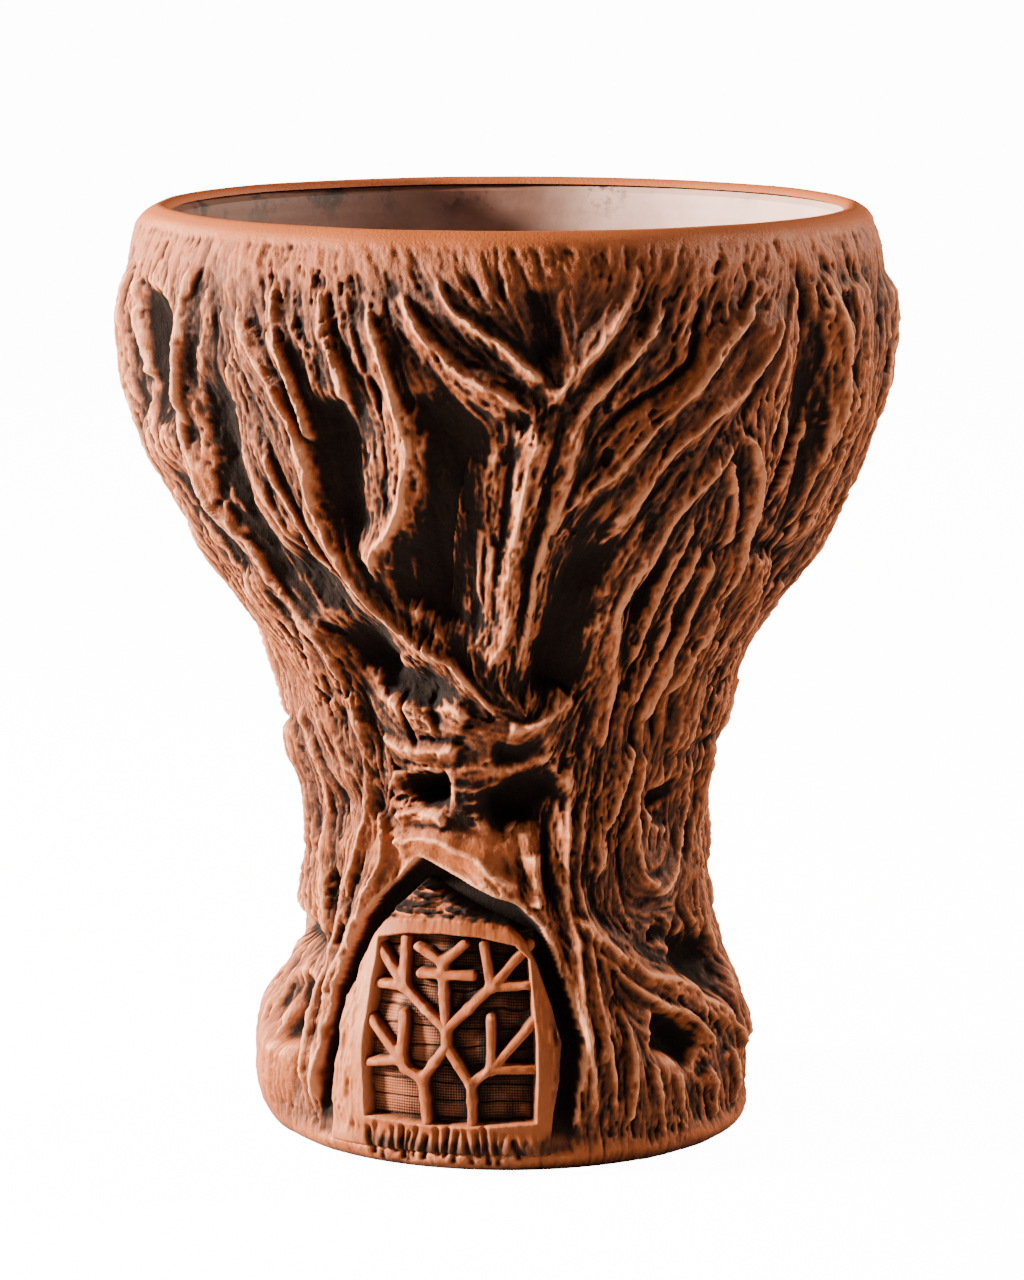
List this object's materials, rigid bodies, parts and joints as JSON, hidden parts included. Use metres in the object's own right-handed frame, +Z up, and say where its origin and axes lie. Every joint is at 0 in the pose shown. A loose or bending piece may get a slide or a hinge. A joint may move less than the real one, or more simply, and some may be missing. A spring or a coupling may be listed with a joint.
{
  "type": "clay water-pipe bowl",
  "caption": "Hollow-tree clay bowl for a water pipe: an open cup on a waisted trunk, with root-like folds, a blind pointed door and a tapered stem socket.",
  "frame": {"origin": "centre of the foot, on the surface it stands on", "axes": "+Z up the bowl's axis to the lip, -Y to the front, towards the viewer of the door, +X to the viewer's right"},
  "size_m": [0.084, 0.0838, 0.1],
  "materials": {
    "thrown_clay": "smooth unglazed terracotta, orange-brown, rubbed by handling",
    "bark_clay": "unglazed carved terracotta with black patina in the hollows and pale dry-brushed ridges",
    "door_clay": "pale smoothed terracotta, unglazed",
    "panel_clay": "terracotta pressed with a woven-cloth pattern, dark patina in the recesses",
    "sooted_clay": "smooth unglazed clay, grey-brown to pinkish white, with soot flecks"
  },
  "bodies": {
    "root": {"foot_ring": "thrown_clay", "trunk_tube": "thrown_clay", "thrown_cup": "thrown_clay", "perforated_floor": "sooted_clay", "window_panel": "panel_clay", "door_slab": "door_clay", "lattice_left_tree": "door_clay", "lattice_right_tree": "door_clay", "lattice_left_crown": "door_clay", "lattice_right_crown": "door_clay", "lattice_sprout": "door_clay", "centre_stem": "bark_clay", "fork_left": "bark_clay", "fork_right": "bark_clay", "upper_band": "bark_clay", "lower_band": "bark_clay", "long_fold": "bark_clay", "second_fold": "bark_clay", "hook_fold": "bark_clay", "right_long_fold": "bark_clay", "leaf_knot": "bark_clay", "left_shoulder_limb": "bark_clay", "left_outer_limb": "bark_clay", "far_left_limb": "bark_clay", "right_outer_limb": "bark_clay", "far_right_limb": "bark_clay", "back_limb_1": "bark_clay", "back_limb_2": "bark_clay", "back_limb_3": "bark_clay", "back_limb_4": "bark_clay", "back_limb_5": "bark_clay", "back_limb_6": "bark_clay", "back_limb_7": "bark_clay", "back_limb_8": "bark_clay", "left_brow": "bark_clay", "right_brow": "bark_clay", "door_canopy": "bark_clay", "knot_whorl": "bark_clay", "left_jamb": "bark_clay", "right_jamb": "bark_clay", "root_right_arch": "bark_clay", "root_right_inner": "bark_clay", "root_right_outer": "bark_clay", "left_trunk": "bark_clay", "root_left_ball": "bark_clay", "root_left_back": "bark_clay", "root_back_1": "bark_clay", "root_back_2": "bark_clay", "root_back_3": "bark_clay", "root_back_4": "bark_clay", "root_back_5": "bark_clay", "root_back_6": "bark_clay"}
  },
  "joints": []
}
